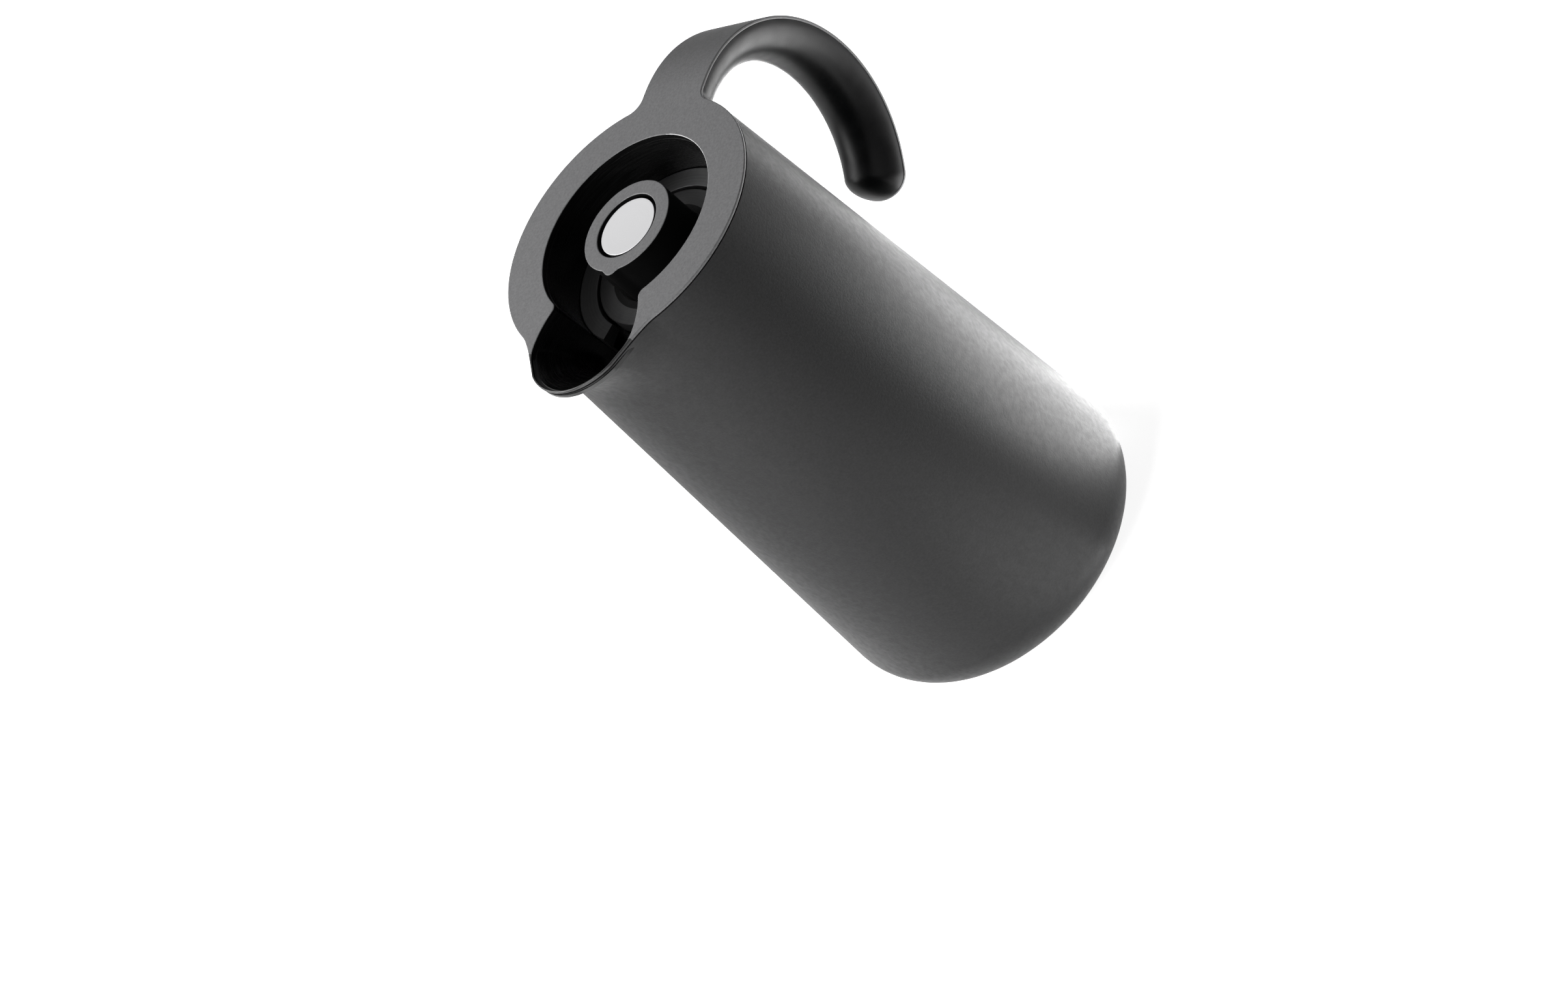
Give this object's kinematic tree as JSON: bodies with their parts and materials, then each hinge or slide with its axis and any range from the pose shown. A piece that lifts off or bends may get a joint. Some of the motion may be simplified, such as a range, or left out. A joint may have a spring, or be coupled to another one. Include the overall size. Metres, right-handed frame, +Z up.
{
  "type": "vacuum jug",
  "caption": "Vacuum jug: tapered coated-steel body, keyhole pouring bowl with pressed spout, hook handle with a flat band, glass flask and push-button stopper.",
  "frame": {"origin": "centre of the base on the table, on the jug's axis", "axes": "+Z up along the jug's axis, -X to the spout, +X to the handle, XZ is the plane of symmetry"},
  "size_m": [0.1934, 0.1364, 0.24],
  "materials": {
    "coated_steel": "charcoal powder coat with a very fine grain",
    "plate_coat": "grey satin coat with a fine grain",
    "grip_plastic": "charcoal satin plastic",
    "bowl_plastic": "black, smooth",
    "collar_plastic": "dark grey, turned rings",
    "inner_plastic": "black, plain",
    "satin_steel": "satin, round",
    "post_coat": "grey satin, as the top plate",
    "bright_steel": "plain bright",
    "black_rubber": "matt",
    "silicone": "milky, soft",
    "silvered_glass": "silvered on the vacuum side",
    "spacer_fibre": "pressed fibre",
    "latch_plastic": "natural, slippery"
  },
  "bodies": {
    "jug": {"body_shell": "coated_steel", "rim_gasket": "black_rubber", "rim_ring": "inner_plastic", "top_plate": "plate_coat", "handle_grip": "grip_plastic", "handle_screws": "bright_steel", "pour_bowl": "bowl_plastic", "plate_screws": "bright_steel", "neck_collar": "collar_plastic", "neck_gasket": "silicone", "liner_outer": "silvered_glass", "liner_inner": "silvered_glass", "liner_spacers": "spacer_fibre", "tip_guard": "silicone", "base_cushion": "black_rubber", "base_ring": "inner_plastic", "base_cover": "inner_plastic", "foot_ring": "black_rubber"},
    "seal": {"stopper_seal": "silicone"},
    "stopper": {"stopper_cap": "post_coat", "stopper_plug": "inner_plastic"},
    "button": {"button_cap": "satin_steel", "button_plunger": "inner_plastic", "return_spring": "bright_steel"},
    "rotor": {"latch_rotor": "latch_plastic"},
    "valve": {"valve_rod": "bright_steel", "valve_disc": "inner_plastic", "valve_seal": "silicone"}
  },
  "joints": [
    {"name": "stopper_lift", "type": "slide", "parent": "jug", "child": "seal", "axis": [0, 0, 1], "range_m": [0, 0.07]},
    {"name": "stopper_turn", "type": "hinge", "parent": "seal", "child": "stopper", "pos_m": [0, 0, 0.2], "axis": [0, 0, 1], "range_deg": [0, 90]},
    {"name": "button_press", "type": "slide", "parent": "stopper", "child": "button", "axis": [0, 0, -1], "range_m": [0, 0.005], "stiffness_N_per_m": 400, "springref_m": -0.004, "deforming": ["return_spring"]},
    {"name": "latch_turn", "type": "hinge", "parent": "button", "child": "rotor", "pos_m": [0, 0, 0.225], "axis": [0, 0, 1], "range_deg": [0, 45]},
    {"name": "valve_slide", "type": "slide", "parent": "stopper", "child": "valve", "axis": [0, 0, -1], "range_m": [0, 0.005]}
  ],
  "couplings": [
    {"joint": "latch_turn", "follows": "button_press", "rad_per_m": 157.07},
    {"joint": "valve_slide", "follows": "button_press", "ratio": 1}
  ]
}
